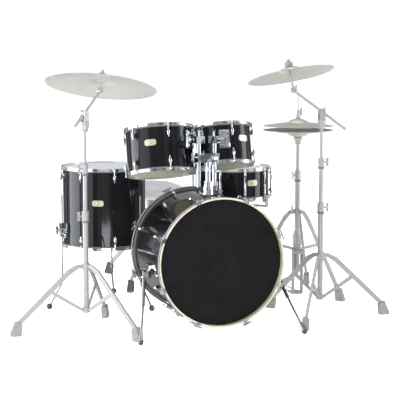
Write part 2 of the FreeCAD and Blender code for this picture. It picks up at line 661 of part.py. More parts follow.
def boom_top(name, stand, tip, normal, stem_end):
    """Upper tube with its boom clamp, and the boom arm through it; gives back the tilter's parts."""
    pivot = stand + Vector(0, 0, size(name + "_pivot"))
    heading = (tip - pivot).normalize()
    flat = Vector(heading.x, heading.y, 0).normalize()
    cross = Vector(0, 0, 1).cross(flat)
    level = Rotation(flat, cross, Vector(), "XYZ")
    tube = rod(stand + Vector(0, 0, 560), pivot - Vector(0, 0, 70), "upper_tube", name + "_upper_tube_rod")
    throat = cone(pivot - Vector(0, 0, 78), pivot - Vector(0, 0, 62), "8", "11", name + "_throat")
    bridge = block(pivot - Vector(0, 0, 62), "26", "32", "8", name + "_bridge", level)
    cheeks = [block(pivot + cross * (12.8 * side) - Vector(0, 0, 26), "26", "6.4", "76", name + "_cheek", level)
              for side in (-1, 1)]
    pin = rod(pivot - cross * 16, pivot + cross * 16, "4", name + "_pivot_pin")
    screw = wing_bolt(pivot + cross * 15, cross, name=name + "_boom_screw")
    keep(fused([tube, throat, bridge] + cheeks + [pin, screw], name + "_clamp_set"), name + "_upper_tube")
    hub = rod(pivot - cross * 9.2, pivot + cross * 9.2, "14", name + "_hub")
    hub_bore = rod(pivot - cross * 30, pivot + cross * 30, "4.06", name + "_hub_bore")
    boom = rod(pivot - heading * size(name + "_tail"), tip, "boom_radius", name + "_boom_rod")
    side = heading.cross(normal).normalize()
    knuckle = rod(tip - side * 4.9, tip + side * 4.9, "10", name + "_knuckle")
    knuckle_bore = rod(tip - side * 20, tip + side * 20, "3.06", name + "_knuckle_bore")
    keep(cut(fused([hub, boom, knuckle], name + "_boom_set"), [hub_bore, knuckle_bore], name + "_boom_arm_set"),
         name + "_boom_arm")
    upright = Rotation(side, normal.cross(side), normal, "ZXY")
    forks = [rod(tip + side * (5.2 * sign), tip + side * (9.6 * sign), "10", name + "_fork") for sign in (-1, 1)]
    fork_pin = rod(tip - side * 8, tip + side * 8, "3", name + "_fork_pin")
    yoke = rod(tip + normal * 11, tip + normal * 18, "9", name + "_yoke")
    arms = [block(tip + side * (7.4 * sign) + normal * 8, "4.6", "12", "16", name + "_fork_arm", upright)
            for sign in (-1, 1)]
    post = rod(tip + normal * 14, stem_end, "stem_radius", name + "_stem")
    fork_screw = wing_bolt(tip - side * 9, -side, normal, name=name + "_tilter_screw")
    return [*forks, fork_pin, yoke, *arms, post, fork_screw]


def cymbal_profile(radius, bell, bow):
    """Half outline of a cymbal from its hole to its rim: bell, bow and a thin edge."""
    rise = "cymbal_steel"
    return [("6.5", bow + " + bell_rise"), ("6.5", bow + " + bell_rise - " + rise),
            (bell + " * 0.5", bow + " + 15.5 - " + rise),
            (bell + " * 0.85", bow + " + 5 - " + rise), (bell, bow + " - " + rise),
            (radius + " * 0.62", bow + " * 0.56 - " + rise), (radius, "0.2"), (radius, "1.2"),
            (radius + " * 0.62", bow + " * 0.56"), (bell + " + 1.5", bow + " + 0.4"),
            (bell + " * 0.87", bow + " + 6.2"), (bell + " * 0.5", bow + " + 17")]


def cymbal(label, radius, bell, bow, place):
    body = body_of(label + "_body")
    turned(body, cymbal_profile(radius, bell, bow))
    return keep(body, label, place)


def boom_stand(name, rim, slope, screw_turn):
    """One complete boom stand and its cymbal, which leans by the two slopes."""
    stand = point(name + "_stand_x", name + "_stand_y", "0")
    place = Placement(stand, Rotation(Vector(0, 0, 1), size(name + "_leg_angle")))
    square = Placement(stand, Rotation(Vector(0, 0, 1), screw_turn))
    tube = base_tube(name + "_base_tube", "boom", square, "lower_joint", "middle_tube + slide_gap")
    tripod = [tripod_legs(name + "_legs", "boom", place), tripod_feet("boom", place, name), *tube]
    keep(group(tripod, name + "_tripod_set"), name + "_tripod")
    middle_tube(name + "_middle_tube", square, "upper_joint")
    normal = Vector(*slope, 1).normalize()
    seat = rim + normal * size("cymbal_bow + bell_rise")
    tilter = boom_top(name, stand, rim - normal * size(name + "_drop"), normal, seat + normal * 34)
    felts = [rod(seat - normal * 13, seat - normal * 3.9, "16", name + "_lower_felt"),
             rod(seat + normal * 0.4, seat + normal * 9, "16", name + "_upper_felt"),
             wing_bolt(seat + normal * 10, normal, Vector(0, 1, 0), 14, name + "_wing_nut")]
    keep(fused(tilter + felts, name + "_tilter_set"), name + "_tilter")
    cymbal(name + "_cymbal", name + "_radius", "58", "cymbal_bow",
           Placement(rim, Rotation(Vector(0, 0, 1), normal)))


boom_stand("ride", point("0 - 452", "385", "1104"), (0.164, 0.236), 190)
boom_stand("crash", point("435", "312", "1148"), (-0.115, 0.248), -10)


def hihat():
    """Hi-hat stand: pull rod, seat, pedal with its frame, and the pair of cymbals."""
    stand = point("hihat_x", "hihat_y", "0")
    place = Placement(stand, Rotation(Vector(0, 0, 1), size("hihat_leg_angle")))
    tripod = [tripod_legs("hihat_legs", "hihat", place), tripod_feet("hihat", place, "hihat")]
    body = body_of("hihat_base_body")
    turned(body, [("9.0", "110"), ("base_tube", "110"), ("base_tube", "hihat_hub - 8"),
                  ("base_tube + 5", "hihat_hub - 8"), ("base_tube + 5", "hihat_hub + 6"),
                  ("base_tube + 9", "hihat_hub + 20"), ("base_tube + 9", "hihat_hub + 72"),
                  ("base_tube + 2", "hihat_hub + 96"), ("base_tube", "hihat_hub + 98"),
                  ("base_tube", "hihat_collar - 12"), ("base_tube + 4.8", "hihat_collar - 12"),
                  ("base_tube + 4.8", "hihat_collar + 10"), ("base_tube", "hihat_collar + 12"),
                  ("base_tube", "hihat_joint - 52"), ("base_tube + 3.5", "hihat_joint - 46"),
                  ("base_tube + 3.5", "hihat_joint"), ("9.0", "hihat_joint")])
    body.Placement = Placement(stand, Rotation())
    side = Vector(-1, -0.3, 0)
    screws = [wing_bolt(stand + Vector(-15, -4, height), side, name="hihat_screw") for height in (440, 618)]
    bars = [block(stand + Vector(sign * 24, -6, 122), "7", "24", "226", "hihat_side_bar") for sign in (-1, 1)]
    crossbar = block(stand + Vector(0, -6, 218), "42", "24", "18", "hihat_crossbar")
    crossbar_bore = rod(stand + Vector(0, 0, 100), stand + Vector(0, 0, 300), "base_tube + 0.05",
                        "crossbar_bore")
    sole = block(stand + Vector(0, 20, 4.5), "55", "76", "9", "hihat_sole")
    rails = [rod(stand + Vector(sign * 20, 58.05, 4), stand + Vector(sign * 20, 256, 4), "3", "hihat_radius_rod")
             for sign in (-1, 1)]
    heel = block(stand + Vector(0, 262, 5), "66", "34", "10", "hihat_heel_plate")
    ears = [block(stand + Vector(sign * 27, 252, 15), "6", "14", "14", "hihat_heel_ear") for sign in (-1, 1)]
    axle = rod(stand + Vector(-30, 252, 17), stand + Vector(30, 252, 17), "2.5", "hihat_heel_axle")
    frame = fused(bars + [cut(crossbar, [crossbar_bore], "hihat_yoke"), sole], "hihat_frame")
    heel_set = fused(rails + [heel] + ears + [axle], "hihat_heel_set")
    keep(group(tripod + [body, frame, heel_set] + screws, "hihat_base_group"), "hihat_tripod")
    hinge = stand + Vector(0, 252, 17)
    toe = stand + Vector(0, 30, 92)
    heading = (hinge - toe).normalize()
    tilt = Rotation(Vector(1, 0, 0), Vector(0, heading.y, heading.z), Vector(0, -heading.z, heading.y), "XYZ")
    board = block((hinge + toe) * 0.5, "46", "232", "4", "hihat_board", tilt)
    knuckle = rod(hinge - Vector(22, 0, 0), hinge + Vector(22, 0, 0), "6", "hihat_knuckle")
    knuckle_bore = rod(hinge - Vector(40, 0, 0), hinge + Vector(40, 0, 0), "2.56", "hihat_knuckle_bore")
    keep(cut(fused([board, knuckle], "hihat_board_set"), [knuckle_bore], "hihat_board_cut"), "hihat_footboard")
    seat = "hat_rim_low - 38.4"
    upper = body_of("hihat_upper_body")
    turned(upper, [("pull_rod + 0.5", "440"), ("8.7", "440"), ("8.7", seat + " - 36"), ("16", seat + " - 34"),
                   ("17", seat + " - 12"), ("22", seat + " - 10"), ("22", seat), ("5.8", seat),
                   ("5.8", seat + " + 12"), ("pull_rod + 0.5", seat + " + 12")])
    keep(upper, "hihat_upper_tube", Placement(stand, Rotation()))
    rim = stand + Vector(0, 0, size("hat_rim_low"))
    flip = Rotation(Vector(1, 0, 0), 180)
    cymbal("hihat_bottom_cymbal", "hat_radius", "55", "18", Placement(rim, flip))
    top = rim + Vector(0, 0, size("hat_gap"))
    cymbal("hihat_top_cymbal", "hat_radius", "55", "18", Placement(top, Rotation()))
    bell_top = top + Vector(0, 0, 38)
    pull = rod(stand + Vector(0, 0, 98), stand + Vector(0, 0, size("hihat_rod_top")), "pull_rod", "pull_rod_bar")
    clutch = [rod(bell_top + Vector(0, 0, low), bell_top + Vector(0, 0, high), radius, "clutch")
              for low, high, radius in ((-13, -4, "13"), (0.4, 8, "13"), (8, 22, "10"), (22, 44, "7"))]
    strap = rod(stand + Vector(0, 0, 101), stand + Vector(0, 24, 97), "3.5", "hihat_strap")
    collar = rod(bell_top + Vector(0, 0, -5), bell_top + Vector(0, 0, 2), "6", "clutch_sleeve")
    screw = wing_bolt(bell_top + Vector(6, 0, 34), Vector(1, 0.2, 0), reach=10, name="clutch_screw")
    keep(fused([pull, strap, collar] + clutch + [screw], "pull_rod_set"), "hihat_pull_rod")


def snare_stand():
    """Tripod, post and three-armed basket that carries the snare drum."""
    centre = point("snare_x", "snare_y", "0")
    place = Placement(centre, Rotation(Vector(0, 0, 1), size("snare_leg_angle")))
    square = Placement(centre, Rotation(Vector(0, 0, 1), 60))
    tripod = [tripod_legs("snare_stand_legs", "snare", place), tripod_feet("snare", place, "snare")]
    tripod += base_tube("snare_stand_base_tube", "snare", square, "snare_joint", "middle_tube + slide_gap")
    keep(group(tripod, "snare_tripod_set"), "snare_stand_tripod")
    under = size("snare_z - snare_depth / 2 - hoop_rise")
    knob = centre + Vector(0, 0, under - 70)
    tube = rod(centre + Vector(0, 0, 250), knob - Vector(0, 0, 16), "middle_tube", "snare_post_tube")
    cheeks = [rod(knob + Vector(6.4 * sign, 0, 0), knob + Vector(12 * sign, 0, 0), "16", "snare_cheek")
              for sign in (-1, 1)]
    bridge = block(knob - Vector(0, 0, 20), "24", "26", "12", "snare_bridge")
    pin = rod(knob - Vector(12, 0, 0), knob + Vector(12, 0, 0), "4", "snare_tilt_pin")
    keep(fused([tube, bridge, pin] + cheeks, "snare_post_set"), "snare_stand_post")
    hub = rod(knob - Vector(6, 0, 0), knob + Vector(6, 0, 0), "13", "basket_eye")
    hub_bore = rod(knob - Vector(30, 0, 0), knob + Vector(30, 0, 0), "4.06", "basket_bore")
    neck = block(knob + Vector(0, 0, 12), "11.6", "16", "22", "basket_neck")
    riser = rod(knob + Vector(0, 0, 18), knob + Vector(0, 0, 44), "11", "basket_riser")
    arms = []
    radius = size("snare_radius")
    for angle in (72.5, 192.5, 312.5):
        outward = Rotation(Vector(0, 0, 1), angle).multVec(Vector(1, 0, 0))
        turn = Rotation(Vector(0, 0, 1), angle)
        middle = knob + Vector(0, 0, 38)
        arms.append(block(middle + outward * (radius / 2 + 8), str(radius + 16), "16", "9", "basket_arm", turn))
        arms.append(block(middle + outward * (radius + 14.5) + Vector(0, 0, 26), "7", "20", "56", "basket_grip",
                          turn))
        arms.append(block(middle + outward * (radius + 6) + Vector(0, 0, 25.5), "20", "22", "12", "basket_pad",
                          turn))
        arms.append(block(middle + outward * (radius + 10.5) + Vector(0, 0, 48.5), "11", "20", "5", "basket_hook",
                          turn))
    basket = cut(fused([hub, neck, riser] + arms, "basket_set"), [hub_bore], "basket_cut")
    keep(basket, "snare_basket")


def throne():
    """Drummer's seat on its post and tripod."""
    centre = point("throne_x", "throne_y", "0")
    place = Placement(centre, Rotation(Vector(0, 0, 1), size("throne_leg_angle")))
    tripod = [tripod_legs("throne_legs", "throne", place), tripod_feet("throne", place, "throne")]
    tripod += base_tube("throne_base_tube", "throne", Placement(centre, Rotation()), "throne_joint",
                        "post_radius + slide_gap")
    keep(group(tripod, "throne_tripod_set"), "throne_tripod")
    under = size("throne_top - throne_pad")
    keep(rod(centre + Vector(0, 0, 160), centre + Vector(0, 0, under - 12), "post_radius", "throne_post_tube"),
         "throne_post")
    body = body_of("throne_seat_body")
    low, high = "throne_top - throne_pad", "throne_top"
    turned(body, [("0", low), ("throne_radius - 12", low), ("throne_radius", low + " + 14"),
                  ("throne_radius + 2", "throne_top - throne_pad / 2"), ("throne_radius - 6", high + " - 12"),
                  ("throne_radius - 26", high + " - 2"), ("0", high)])
    keep(body, "throne_cushion", Placement(centre, Rotation()))
    plate = rod(centre + Vector(0, 0, under - 6), centre + Vector(0, 0, under - 0.4), "70", "seat_plate")
    socket = rod(centre + Vector(0, 0, under - 50), centre + Vector(0, 0, under - 5), "20", "seat_socket")
    bore = rod(centre + Vector(0, 0, under - 60), centre + Vector(0, 0, under - 11.7), "post_radius + 0.05",
               "seat_bore")
    keep(cut(fused([plate, socket], "seat_bracket_set"), [bore], "seat_bracket_cut"), "throne_seat_bracket")


def kick_pedal():
    """Bass drum pedal: base, posts and axle, footboard, and the beater on its cam."""
    ahead = size("pedal_y")
    axle_z = size("pedal_axle")
    half = size("pedal_half_width")
    plate = block(point("0", ahead + 150, "4"), "84", "300", "8", "pedal_base_plate")
    posts = [block(point(side * half, ahead + 42, axle_z / 2 + 4), "12", "26", str(axle_z + 8), "pedal_post")
             for side in (-1, 1)]
    wings = [block(point(side * 47, ahead + 42, "6"), "14", "30", "12", "pedal_post_foot") for side in (-1, 1)]
    bearings = [rod(point(side * (half - 7), ahead + 42, axle_z), point(side * (half + 7), ahead + 42, axle_z),
                    "13", "pedal_bearing") for side in (-1, 1)]
    bores = [rod(point("0 - 90", ahead + 42, axle_z), point("90", ahead + 42, axle_z), "5.06", "pedal_axle_bore")]
    clamp = [block(point("0", ahead + 1.5, "35"), "52", "13", "62", "pedal_hoop_clamp"),
             block(point("0", ahead - 15, "41.5"), "52", "26", "10", "pedal_lower_jaw"),
             block(point("0", ahead - 14, "61.8"), "30", "24", "8", "pedal_upper_jaw")]
    heel_ears = [block(point(side * 37, ahead + 276, "15"), "6", "16", "16", "pedal_heel_ear")
                 for side in (-1, 1)]
    heel_pin = rod(point("0 - 40", ahead + 276, "18"), point("40", ahead + 276, "18"), "2.5", "pedal_heel_pin")
    frame = cut(fused([plate] + clamp + posts + wings + bearings + heel_ears, "pedal_frame_solid"), bores,
                "pedal_frame_cut")
    keep(group([fused([frame, heel_pin], "pedal_frame_set")], "pedal_frame_group"), "kick_pedal_frame")
    hinge = point("0", ahead + 276, "18")
    toe = point("0", ahead + 62, "96")
    heading = (hinge - toe).normalize()
    tilt = Rotation(Vector(1, 0, 0), Vector(0, heading.y, heading.z), Vector(0, -heading.z, heading.y), "XYZ")
    board = block((hinge + toe) * 0.5, "62", "226", "4", "kick_board", tilt)
    knuckle = rod(hinge - Vector(32, 0, 0), hinge + Vector(32, 0, 0), "6", "kick_knuckle")
    bore = rod(hinge - Vector(50, 0, 0), hinge + Vector(50, 0, 0), "2.56", "kick_knuckle_bore")
    keep(cut(fused([board, knuckle], "kick_board_set"), [bore], "kick_board_cut"), "kick_footboard")
    axle_mid = point("0", ahead + 42, axle_z)
    axle = rod(axle_mid - Vector(58, 0, 0), axle_mid + Vector(58, 0, 0), "5", "pedal_axle")
    cam = rod(axle_mid - Vector(7, 0, 0), axle_mid + Vector(7, 0, 0), "24", "pedal_cam")
    lean = math.radians(48)
    upward = Vector(0, math.sin(lean), math.cos(lean))
    head = axle_mid + upward * 175
    shaft = rod(axle_mid - upward * 10, head + upward * 24, "3.2", "beater_shaft")
    ahead_face = Vector(0, -math.cos(lean), math.sin(lean))
    felt = rod(head - ahead_face * 18, head + ahead_face * 24, "22", "beater_head")
    keep(fused([axle, cam, shaft, felt], "beater_set"), "kick_beater")


hihat()
snare_stand()
throne()
kick_pedal()

# ---------------------------------------------------------------- check and write
doc.recompute()
failed = [item.Name for item in doc.Objects if set(item.State) & {"Invalid", "Error"}]
if failed:
    raise RuntimeError("failed objects: %s" % failed)
whole = FreeCAD.BoundBox()
for piece in pieces:
    shape = piece.Shape
    if shape.isNull() or not shape.isValid() or not shape.Solids:
        raise RuntimeError("bad shape: " + piece.Label)
    whole.add(shape.BoundBox)
    shape.exportStep("parts/%s.step" % piece.Label)
    print("%-24s solids %3d  volume %10.0f" % (piece.Label, len(shape.Solids), shape.Volume))
print(len(pieces), "nodes, box", whole)
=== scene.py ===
"""Acoustic drum kit: the CAD frame with its finishes, cymbals, badges, rubber,
felts and seat cushion."""
import bmesh
import bpy
import json
import math
from mathutils import Matrix, Vector

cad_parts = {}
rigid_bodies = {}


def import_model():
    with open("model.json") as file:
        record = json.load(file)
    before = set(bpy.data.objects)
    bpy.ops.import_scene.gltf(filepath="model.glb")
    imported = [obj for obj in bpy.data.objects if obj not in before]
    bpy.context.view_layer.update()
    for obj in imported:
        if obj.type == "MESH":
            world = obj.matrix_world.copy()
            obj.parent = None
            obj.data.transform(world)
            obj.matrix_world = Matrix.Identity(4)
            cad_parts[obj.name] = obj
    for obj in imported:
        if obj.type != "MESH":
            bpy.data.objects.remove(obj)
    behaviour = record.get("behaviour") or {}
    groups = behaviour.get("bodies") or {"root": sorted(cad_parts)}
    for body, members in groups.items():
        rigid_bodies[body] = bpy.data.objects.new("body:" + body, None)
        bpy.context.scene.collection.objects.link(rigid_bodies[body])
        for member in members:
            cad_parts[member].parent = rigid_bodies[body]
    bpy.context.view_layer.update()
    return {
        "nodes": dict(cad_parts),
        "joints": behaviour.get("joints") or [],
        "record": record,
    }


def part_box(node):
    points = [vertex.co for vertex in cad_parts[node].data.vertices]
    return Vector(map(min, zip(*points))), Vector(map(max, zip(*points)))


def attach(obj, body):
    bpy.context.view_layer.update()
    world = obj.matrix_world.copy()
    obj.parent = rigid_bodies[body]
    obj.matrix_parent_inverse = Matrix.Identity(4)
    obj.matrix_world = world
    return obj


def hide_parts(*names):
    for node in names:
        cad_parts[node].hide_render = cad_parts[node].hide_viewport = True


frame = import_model()
record = frame["record"]
nodes = frame["nodes"]
joints = {joint["name"]: joint for joint in frame["joints"]}
scene = bpy.context.scene
MM = 0.001
RIM_SEGMENTS = 144
LEVEL_ENOUGH = 0.6  # height of a unit normal above which a drum head's face counts as level
HOOP_WOOD_WIDTH = 27 * MM
SHELL_RADII = {
    "tom12_shell": 152.4 * MM,
    "tom10_shell": 127 * MM,
    "floor_tom_shell": 203.2 * MM,
    "snare_shell": 177.8 * MM,
}
TOM_LEAN = 13.4  # degrees towards the player


# ---------------------------------------------------------------- node materials
class Finish:
    """A procedural material built step by step round one Principled shader."""

    def __init__(self, name, roughness=0.3, metallic=0.0, **sockets):
        self.material = bpy.data.materials.new(name)
        self.material.use_nodes = True
        self.tree = self.material.node_tree
        self.shader = self.tree.nodes["Principled BSDF"]
        self.shader.inputs["Roughness"].default_value = roughness
        self.shader.inputs["Metallic"].default_value = metallic
        for socket, value in sockets.items():
            self.shader.inputs[socket.replace("_", " ")].default_value = value
        self.place = self.tree.nodes.new("ShaderNodeTexCoord").outputs["Object"]

    def node(self, kind, **settings):
        made = self.tree.nodes.new("ShaderNode" + kind)
        for key, value in settings.items():
            setattr(made, key, value)
        return made

    def link(self, source, target):
        self.tree.links.new(source, target)

    def noise(self, scale, detail=4.0, roughness=0.55, stretch=None):
        made = self.node("TexNoise")
        made.inputs["Scale"].default_value = scale
        made.inputs["Detail"].default_value = detail
        made.inputs["Roughness"].default_value = roughness
        place = self.place
        if stretch:
            mapping = self.node("Mapping")
            mapping.inputs["Scale"].default_value = stretch
            self.link(place, mapping.inputs["Vector"])
            place = mapping.outputs["Vector"]
        self.link(place, made.inputs["Vector"])
        return made.outputs["Fac"]

    def ramp(self, factor, stops):
        made = self.node("ValToRGB")
        elements = made.color_ramp.elements
        while len(elements) < len(stops):
            elements.new(0.5)
        for element, (at, colour) in zip(elements, stops):
            element.position = at
            element.color = (*colour, 1.0)
        self.link(factor, made.inputs["Fac"])
        return made.outputs["Color"]

    def number_range(self, factor, low, high, start=0.3, stop=0.7):
        made = self.node("MapRange")
        made.inputs["From Min"].default_value = start
        made.inputs["From Max"].default_value = stop
        made.inputs["To Min"].default_value = low
        made.inputs["To Max"].default_value = high
        self.link(factor, made.inputs["Value"])
        return made.outputs["Result"]

    def maths(self, operation, first, second=None):
        made = self.node("Math", operation=operation)
        for socket, value in zip(made.inputs, (first, second)):
            if value is None:
                continue
            if isinstance(value, (int, float)):
                socket.default_value = value
            else:
                self.link(value, socket)
        return made.outputs["Value"]

    def mix(self, factor, first, second):
        made = self.node("Mix", data_type="RGBA")
        self.link(factor, made.inputs["Factor"])
        for socket, value in ((made.inputs[6], first), (made.inputs[7], second)):
            if isinstance(value, tuple):
                socket.default_value = (*value, 1.0)
            else:
                self.link(value, socket)
        return made.outputs[2]

    def axes(self, centre=(0.0, 0.0, 0.0)):
        """X, Y and Z of the surface point, measured from centre."""
        apart = self.node("SeparateXYZ")
        self.link(self.place, apart.inputs["Vector"])
        return [self.maths("SUBTRACT", apart.outputs[axis], centre[axis]) for axis in range(3)]

    def colour(self, source):
        if isinstance(source, tuple):
            self.shader.inputs["Base Color"].default_value = (*source, 1.0)
        else:
            self.link(source, self.shader.inputs["Base Color"])

    def rough(self, source):
        self.link(source, self.shader.inputs["Roughness"])

    def bump(self, height, strength, distance):
        made = self.node("Bump")
        made.inputs["Strength"].default_value = strength
        made.inputs["Distance"].default_value = distance
        self.link(height, made.inputs["Height"])
        self.link(made.outputs["Normal"], self.shader.inputs["Normal"])


def lacquer():
    finish = Finish("black_lacquer", 0.07, Specular_IOR_Level=0.3)
    finish.colour(finish.ramp(finish.noise(9),
                              [(0.3, (0.004, 0.004, 0.005)), (0.8, (0.010, 0.010, 0.012))]))
    finish.rough(finish.number_range(finish.noise(60), 0.05, 0.09))
    finish.bump(finish.noise(34, 2), 0.03, 0.0004)
    return finish.material


def chrome(name="chrome", tint=0.9, low=0.05, high=0.13, wave=0.0):
    """Plated metal; wave is the height of the slow swell that a polished casting keeps."""
    finish = Finish(name, 0.08, 1.0)
    finish.colour(finish.ramp(finish.noise(40), [(0.3, (tint * 0.9, tint * 0.93, tint * 0.97)),
                                                 (0.75, (tint * 0.95, tint * 0.98, tint * 1.03))]))
    finish.rough(finish.number_range(finish.noise(110, 6), low, high))
    finish.bump(finish.noise(17, 1), 0.5, 0.0003 + wave)
    return finish.material


def drum_film(name, pale, deep):
    """White coated film above, cream film below, and dark grey painted shade on the side faces of
    the collar round the edge, where it sits under the hoop.
    """
    finish = Finish(name, 0.42)
    film = finish.ramp(finish.noise(22, 6), [(0.3, deep), (0.7, pale)])
    # painted shade: the collar's side faces under the hoop get a dark grey (0.10 to 0.16) that
    # stands for the shade there, not a colour of the head
    ring = finish.ramp(finish.noise(60), [(0.3, (0.10, 0.10, 0.10)), (0.7, (0.16, 0.16, 0.16))])
    apart = finish.node("SeparateXYZ")
    finish.link(finish.node("NewGeometry").outputs["True Normal"], apart.inputs["Vector"])
    level = finish.maths("GREATER_THAN", finish.maths("ABSOLUTE", apart.outputs["Z"]), LEVEL_ENOUGH)
    above = finish.maths("GREATER_THAN", apart.outputs["Z"], LEVEL_ENOUGH)
    coated = finish.ramp(finish.noise(40, 6),
                         [(0.3, (0.60, 0.61, 0.62)), (0.7, (0.70, 0.71, 0.72))])
    # painted shade on the collar's side faces; coated film on level faces above, cream film on
    # level faces below
    finish.colour(finish.mix(above, finish.mix(level, ring, film), coated))
    finish.rough(finish.number_range(finish.noise(90), 0.36, 0.5))
    finish.bump(finish.noise(1500, 3), 0.12, 0.0002)
    return finish.material


def bass_films():
    """Black front head and smoke-grey rear head, told apart by their place along the drum."""
    low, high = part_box("bass_heads")
    finish = Finish("bass_films", 0.55, Specular_IOR_Level=0.22)
    along = finish.axes((0, (low.y + high.y) / 2, 0))[1]
    behind = finish.maths("GREATER_THAN", along, 0.0)
    black = finish.ramp(finish.noise(14, 6),
                        [(0.3, (0.004, 0.004, 0.005)), (0.7, (0.007, 0.007, 0.008))])
    smoke = finish.ramp(finish.noise(22, 6),
                        [(0.3, (0.10, 0.10, 0.10)), (0.7, (0.14, 0.14, 0.135))])
    finish.colour(finish.mix(behind, black, smoke))
    finish.rough(finish.number_range(finish.noise(80), 0.48, 0.62))
    finish.bump(finish.noise(1100, 3), 0.15, 0.0002)
    return finish.material


def bass_hoop_wood():
    """Maple hoops: natural inside and on the front edge, black outside, with a grey band round the
    middle of the outside wall that is a painted reflection.
    """
    paint_depth = 0.6 * MM
    half_painted_reflection = 5.5 * MM
    low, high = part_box("bass_hoops")
    centre = (low + high) / 2
    outer = (high.z - low.z) / 2
    finish = Finish("bass_hoop_wood", 0.25, Coat_Weight=0.6, Coat_Roughness=0.08)
    across, along, up = finish.axes(centre)
    reach = finish.maths("SQRT", finish.maths("ADD", finish.maths("MULTIPLY", across, across),
                                              finish.maths("MULTIPLY", up, up)))
    outside = finish.maths("GREATER_THAN", reach, outer - paint_depth)
    rear = finish.maths("GREATER_THAN", along, 0.0)
    painted = finish.maths("MAXIMUM", outside, rear)
    half_apart = (high.y - low.y) / 2 - HOOP_WOOD_WIDTH / 2
    off_centre = finish.maths("ABSOLUTE", finish.maths("SUBTRACT", finish.maths("ABSOLUTE", along),
                                                       half_apart))
    # painted reflection: a grey band round the middle of each hoop's outside wall stands for the
    # gloss reflection of the lights on the black paint
    painted_reflection_mask = finish.maths("MULTIPLY", finish.maths("LESS_THAN", off_centre, half_painted_reflection), outside)
    grain = finish.noise(16, 8, 0.6, (1.0, 14.0, 1.0))
    maple = finish.ramp(grain, [(0.25, (0.38, 0.34, 0.26)), (0.55, (0.48, 0.44, 0.35)),
                                (0.8, (0.54, 0.50, 0.41))])
    paint = finish.ramp(finish.noise(30),
                        [(0.3, (0.006, 0.006, 0.007)), (0.8, (0.012, 0.012, 0.013))])
    # the grey of the painted reflection band
    painted_reflection_grey = finish.ramp(finish.noise(90), [(0.3, (0.42, 0.42, 0.42)), (0.7, (0.54, 0.54, 0.53))])
    finish.colour(finish.mix(painted_reflection_mask, finish.mix(painted, maple, paint), painted_reflection_grey))
    finish.rough(finish.number_range(finish.noise(70), 0.18, 0.32))
    finish.bump(grain, 0.08, 0.0004)
    return finish.material


def plated_steel(name, tint=0.38):
    """Pale satin-plated tube and strip steel, with faint drawn lines along Z."""
    finish = Finish(name, 0.42, 0.4)
    finish.colour(finish.ramp(finish.noise(30),
                              [(0.3, (tint * 0.92,) * 3), (0.75, (tint, tint, tint * 1.015))]))
    finish.rough(finish.number_range(finish.noise(60, 6, 0.6, (6.0, 6.0, 0.4)), 0.34, 0.48))
    finish.bump(finish.noise(900, 2, 0.5, (1.0, 1.0, 0.05)), 0.03, 0.0002)
    return finish.material


def cymbal_metal(name, low, high):
    """Pale bronze with fine and wide lathe rings round the cymbal's own axis."""
    fine_rings, wide_rings = 900.0, 230.0  # radians of the wave for each metre of radius
    finish = Finish(name, 0.36, 0.3)
    centre = (low + high) / 2
    across, along = finish.axes(centre)[:2]
    reach = finish.maths("SQRT", finish.maths("ADD", finish.maths("MULTIPLY", across, across),
                                              finish.maths("MULTIPLY", along, along)))
    rings = finish.maths("SINE", finish.maths("MULTIPLY", reach, fine_rings))
    wide = finish.maths("SINE", finish.maths("MULTIPLY", reach, wide_rings))
    warm = finish.ramp(finish.maths("ADD", finish.noise(5), finish.maths("MULTIPLY", wide, 0.06)),
                       [(0.3, (0.44, 0.42, 0.37)), (0.55, (0.47, 0.46, 0.43)),
                        (0.8, (0.48, 0.475, 0.465))])
    finish.colour(warm)
    finish.rough(finish.maths("ADD", finish.number_range(finish.noise(12), 0.3, 0.42),
                              finish.maths("MULTIPLY", rings, 0.03)))
    finish.bump(wide, 0.06, 0.0004)
    return finish.material


def rubber(name="rubber", tone=0.055):
    finish = Finish(name, 0.62)
    finish.colour(finish.ramp(finish.noise(70),
                              [(0.3, (tone * 0.8,) * 3), (0.8, (tone * 1.2,) * 3)]))
    finish.rough(finish.number_range(finish.noise(120), 0.52, 0.75))
    finish.bump(finish.noise(700, 4), 0.2, 0.0004)
    return finish.material


def felt():
    finish = Finish("felt", 0.95, Sheen_Weight=0.4)
    finish.colour(finish.ramp(finish.noise(300, 6),
                              [(0.3, (0.24, 0.24, 0.24)), (0.75, (0.36, 0.36, 0.355))]))
    finish.rough(finish.number_range(finish.noise(200), 0.85, 1.0))
    finish.bump(finish.noise(1600, 5), 0.5, 0.001)
    return finish.material


def vinyl():
    finish = Finish("seat_vinyl", 0.5)
    finish.colour(finish.ramp(finish.noise(12, 6),
                              [(0.3, (0.50, 0.50, 0.51)), (0.7, (0.58, 0.58, 0.59))]))
    cells = finish.node("TexVoronoi", feature="DISTANCE_TO_EDGE")
    cells.inputs["Scale"].default_value = 420
    finish.link(finish.place, cells.inputs["Vector"])
    finish.rough(finish.number_range(finish.noise(150), 0.42, 0.58))
    finish.bump(cells.outputs["Distance"], 0.22, 0.0006)
    return finish.material


def brass_plate():
    finish = Finish("badge_plate", 0.3, 0.6)
    finish.colour(finish.ramp(finish.noise(220),
                              [(0.3, (0.52, 0.48, 0.34)), (0.75, (0.64, 0.60, 0.45))]))
    finish.rough(finish.number_range(finish.noise(300), 0.24, 0.4))
    finish.bump(finish.noise(800), 0.1, 0.0003)
    return finish.material


